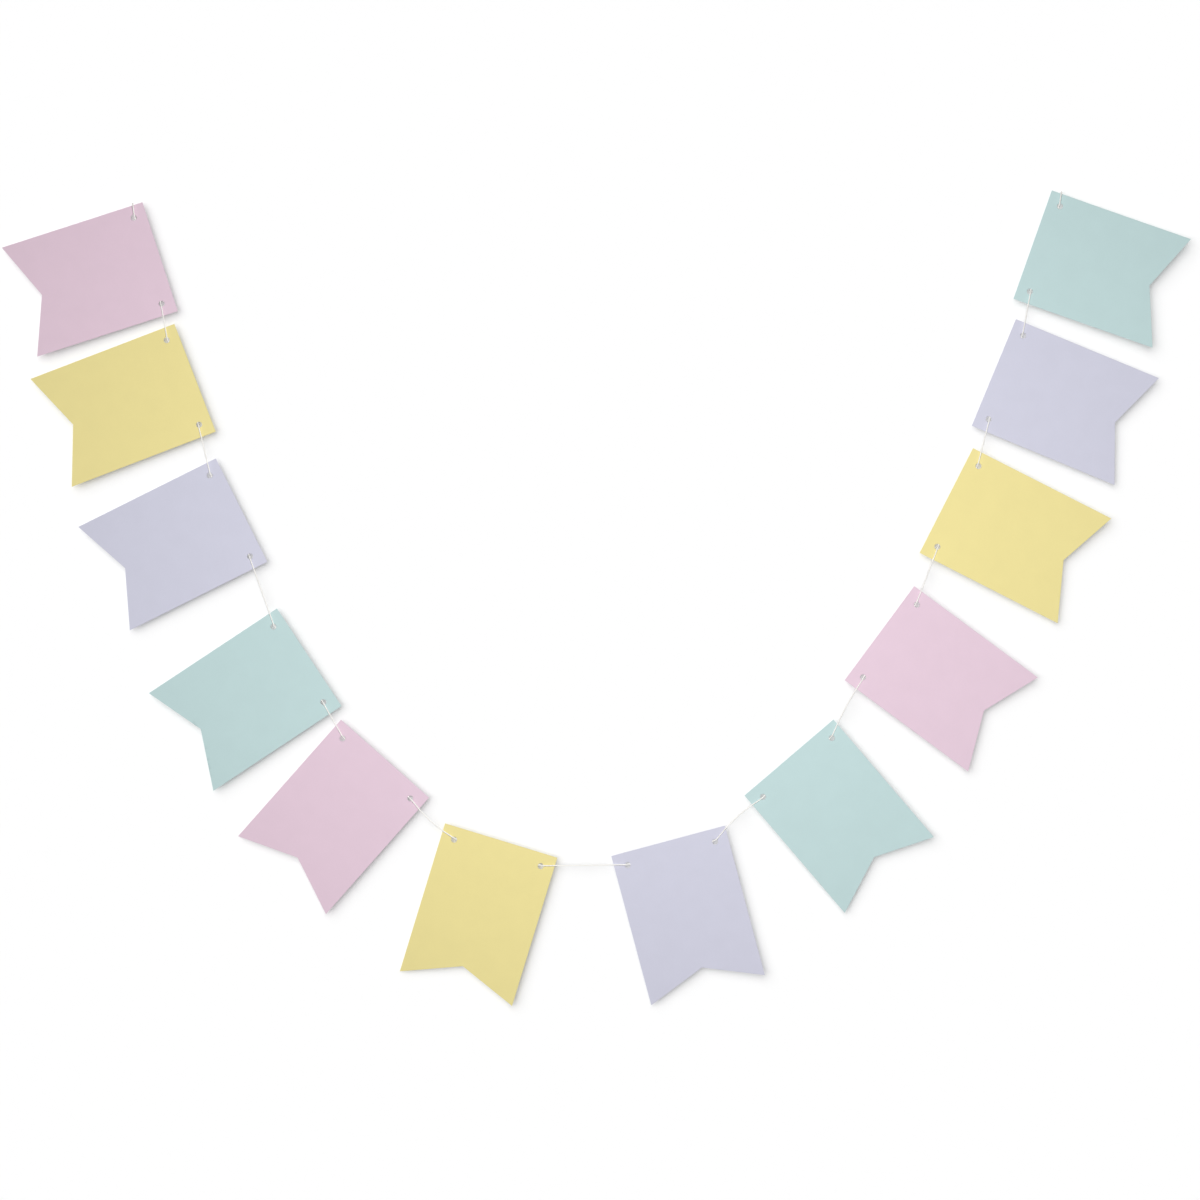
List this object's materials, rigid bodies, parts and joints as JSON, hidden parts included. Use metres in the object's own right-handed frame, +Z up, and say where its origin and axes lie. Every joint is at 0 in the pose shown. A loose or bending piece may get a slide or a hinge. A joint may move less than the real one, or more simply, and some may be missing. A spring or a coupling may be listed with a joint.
{
  "type": "paper bunting",
  "caption": "Garland of swallowtail card pennants in pastel colours, threaded through corner holes on a thin white string and hung as a deep swag.",
  "frame": {"origin": "the left hanging point, where the string turns round the outer edge of the first pennant, in the cards' middle plane", "axes": "+X to the right across the swag, +Z up, and the fronts of the pennants face -Y"},
  "size_m": [1.1883, 0.0093, 0.8155],
  "materials": {
    "pink_card": "matte",
    "yellow_card": "matte",
    "lavender_card": "matte",
    "mint_card": "matte",
    "white_string": "matte"
  },
  "bodies": {
    "root": {"pennant_01": "pink_card", "pennant_02": "yellow_card", "pennant_03": "lavender_card", "pennant_04": "mint_card", "pennant_05": "pink_card", "pennant_06": "yellow_card", "pennant_07": "lavender_card", "pennant_08": "mint_card", "pennant_09": "pink_card", "pennant_10": "yellow_card", "pennant_11": "lavender_card", "pennant_12": "mint_card", "string": "white_string", "hitch_left": "white_string", "hitch_right": "white_string"}
  },
  "joints": []
}
